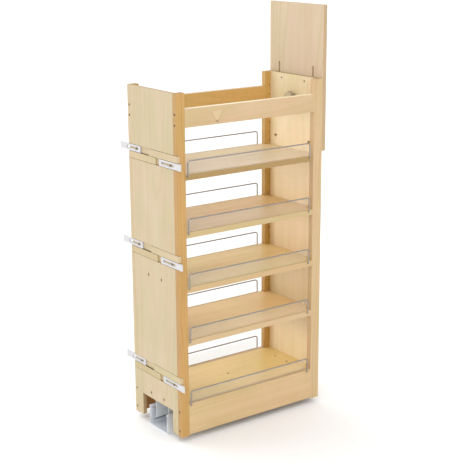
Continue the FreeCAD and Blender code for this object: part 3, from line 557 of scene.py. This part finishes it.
def moulded(name, colour, roughness, seed, coat=0.0, rim=None):
    """Moulded plastic: a fine skin texture, faint flow clouds and paler edges, partly wear and partly a
    painted highlight. rim is the gain of the faces that run along the piece's axis, which is the Y axis:
    painted shade on those sides."""
    g = Graph(name)
    place = g.vector("ADD", g.coords, (seed, seed, seed))
    skin = g.noise(place, SKIN, 2.0)
    flow = g.noise(place, FLOW, 2.0)
    tint = g.blend(g.product(flow, 0.5), scaled(colour, PLASTIC_PALE), scaled(colour, PLASTIC_DARK))
    soft = g.bevel(PLASTIC_BEVEL)
    # paler edges: wear and a painted highlight
    tint = g.wear_and_highlight_edges(tint, soft, PLASTIC_EDGE_WEAR_AND_HIGHLIGHT, scaled(colour, PLASTIC_EDGE_WEAR_AND_HIGHLIGHT_GAIN))
    # painted shade on the sides that run along the Y axis, by the gain rim
    if rim is not None:
        tint = g.blend(g.facing("y", *SIDE_SHADE_SPAN), tint, scaled(colour, rim))
    return g.finish(Base_Color=tint, Roughness=g.math("MULTIPLY_ADD", flow, FLOW_ROUGH, roughness),
                    Normal=g.bump(skin, PLASTIC_BUMP, FINE_BUMP_DEPTH, soft), Coat_Weight=coat,
                    Coat_Roughness=COAT_ROUGH)


def clear_sheet(name):
    """Clear acrylic: thin and colourless, a reflecting skin, a few scuffs and bright sawn edges."""
    g = Graph(name)
    scuff = g.noise(g.vector("MULTIPLY", g.coords, SCUFF), 1.0, 3.0, 0.65)
    milkiness = g.math("ADD", g.span(scuff, *HAZE), g.facing("x", *SAWN_EDGE), clamp=True)
    through = g.shader("BsdfTransparent", Color=CLEAR_TINT)
    milky = g.shader("BsdfDiffuse", Color=MILKY)
    mirror = g.shader("BsdfGlossy", Color=(1.0, 1.0, 1.0),
                      Roughness=g.math("MULTIPLY_ADD", scuff, SCUFF_ROUGH, CLEAR_ROUGH))
    weight = g.new("LayerWeight")
    weight.inputs["Blend"].default_value = 0.5
    grazing = g.math("POWER", weight.outputs["Facing"], SHINE_POWER)
    shine = g.math("MULTIPLY_ADD", grazing, SHINE_GAIN, SHINE_BASE)
    body = g.mix_shaders(milkiness, through, milky)
    return g.end_in(g.mix_shaders(shine, body, mirror))


# Wires and guards of every shelf
CHROME = metal("chromed_wire_look", (0.34, 0.325, 0.305), roughness=0.20, spread=0.10, streaks=0.6,
               grain="y", seed=3.1)
ACRYLIC = clear_sheet("clear_acrylic_look")
for node in NODES:
    if node.endswith("_wires"):
        wear(node, CHROME)
    elif node.endswith("_guards"):
        wear(node, ACRYLIC)

# Glides and lock knob
GLIDE = moulded("white_nylon_look", (0.56, 0.545, 0.555), roughness=0.38, seed=1.7)
for band in BANDS:
    wear(f"upper_glide_{band}", GLIDE)
    wear(f"lower_glide_{band}", GLIDE)
# the knob's rim is darker: painted shade on its sides
wear("lock_knob", moulded("grey_knob_look", linear("B5A88C"), roughness=0.34, seed=4.2, coat=0.2, rim=0.62))
wear("lock_stud", metal("stud_look", (0.62, 0.61, 0.58), roughness=0.28, spread=0.15, streaks=0.5,
                        grain="y", seed=5.5))

# Floor slide
wear("floor_channel", zinc("channel_zinc", linear("E2E5EA"), seed=1.3, metallic=0.35))
wear("slide_bracket", zinc("bracket_zinc", linear("DDDFE0"), seed=2.6, metallic=0.25))
SLIDE_MEMBERS = sorted(n for n in NODES if n.startswith("slide_") and n != "slide_bracket")
for i, node in enumerate(SLIDE_MEMBERS):
    wear(node, metal("slide_steel_" + node, linear("DADDE2"), roughness=0.30, spread=0.18, streaks=0.5,
                     grain="y", seed=6.0 + i, metallic=0.45))
for node in ("inner_ball_cages", "outer_ball_cages"):
    wear(node, metal("bearing_" + node, linear("B9B6AE"), roughness=0.22, spread=0.12, streaks=0.4,
                     grain="y", seed=12.0))

# Screws, nuts and shelf pins
STEEL = metal("screw_steel_look", (0.40, 0.32, 0.20), roughness=0.36, spread=0.20, streaks=0.5,
              grain="z", seed=8.0)
BRASSED = metal("brassed_screw_look", (0.25, 0.15, 0.055), roughness=0.42, spread=0.16, streaks=0.4,
                grain="z", seed=8.6, metallic=0.4)
BROWNED = metal("browned_screw_look", (0.15, 0.085, 0.04), roughness=0.45, spread=0.16, streaks=0.4,
                grain="z", seed=9.1, metallic=0.4)
for node in ("glide_screws", "height_set_screws", "clamp_screws", "clamp_nuts", "shelf_pins"):
    wear(node, STEEL)
wear("panel_screws", BRASSED)
for node in ("frame_screws", "bracket_screws"):
    wear(node, BROWNED)


# ---------------------------------------------------------------- stage, light and camera

FLOOR_HALF = 60.0
FLOOR_DROP = 0.0005       # keeps the floor clear of the channel's underside
SUN_WIDTH = 70            # degrees of sky that each light fills
SUNS = (                  # name, place, target, strength
    ("key", (-3.0, 2.2, 2.8), (0, 0, 0.6), 1.0),
    ("far_side", (3.2, 1.2, 2.7), (0, 0, 0.6), 1.25),
    ("front_fill", (0.8, -4.0, 2.4), (0, 0, 0.7), 0.25),
)
CAMERA_PLACE = (-2.9977, 2.1551, 1.613)
CAMERA_YAW, CAMERA_PITCH, CAMERA_ROLL = math.radians(53.84), math.radians(15.15), math.radians(-0.23)
CAMERA_LENS, CAMERA_SENSOR = 88.2, 36.0
CAMERA_REACH = 200.0


def make_floor():
    mesh = bpy.data.meshes.new("floor")
    half = FLOOR_HALF
    mesh.from_pydata([(-half, -half, 0), (half, -half, 0), (half, half, 0), (-half, half, 0)], [],
                     [(0, 1, 2, 3)])
    floor = bpy.data.objects.new("floor", mesh)
    bpy.context.scene.collection.objects.link(floor)
    floor.location.z = -FLOOR_DROP
    g = Graph("pale_floor")
    tint = g.blend(g.noise(g.coords, 0.6, 2.0), (0.90, 0.90, 0.90), (0.88, 0.88, 0.885))
    floor.data.materials.append(g.finish(Base_Color=tint, Roughness=0.75, Specular_IOR_Level=0.2))


def make_light():
    world = bpy.data.worlds.new("studio")
    bpy.context.scene.world = world
    world.use_nodes = True
    background = world.node_tree.nodes["Background"]
    background.inputs["Color"].default_value = (1.0, 1.0, 1.0, 1.0)
    background.inputs["Strength"].default_value = 1.0
    for name, place, target, strength in SUNS:
        lamp = bpy.data.lights.new(name, "SUN")
        lamp.angle = math.radians(SUN_WIDTH)
        lamp.energy = strength
        holder = bpy.data.objects.new(name, lamp)
        bpy.context.scene.collection.objects.link(holder)
        holder.location = place
        holder.rotation_mode = "QUATERNION"
        holder.rotation_quaternion = (Vector(target) - Vector(place)).to_track_quat("-Z", "Y")


def make_camera():
    camera = bpy.data.cameras.new("camera")
    camera.sensor_width = CAMERA_SENSOR
    camera.lens = CAMERA_LENS
    camera.clip_end = CAMERA_REACH
    holder = bpy.data.objects.new("camera", camera)
    bpy.context.scene.collection.objects.link(holder)
    flat = math.cos(CAMERA_PITCH)
    forward = Vector((math.sin(CAMERA_YAW) * flat, -math.cos(CAMERA_YAW) * flat, -math.sin(CAMERA_PITCH)))
    roll = Matrix.Rotation(CAMERA_ROLL, 3, "Z").to_quaternion()
    holder.rotation_mode = "QUATERNION"
    holder.rotation_quaternion = forward.to_track_quat("-Z", "Y") @ roll
    holder.location = CAMERA_PLACE
    bpy.context.scene.camera = holder


make_floor()
make_light()
make_camera()
bpy.context.scene.view_settings.view_transform = "Standard"
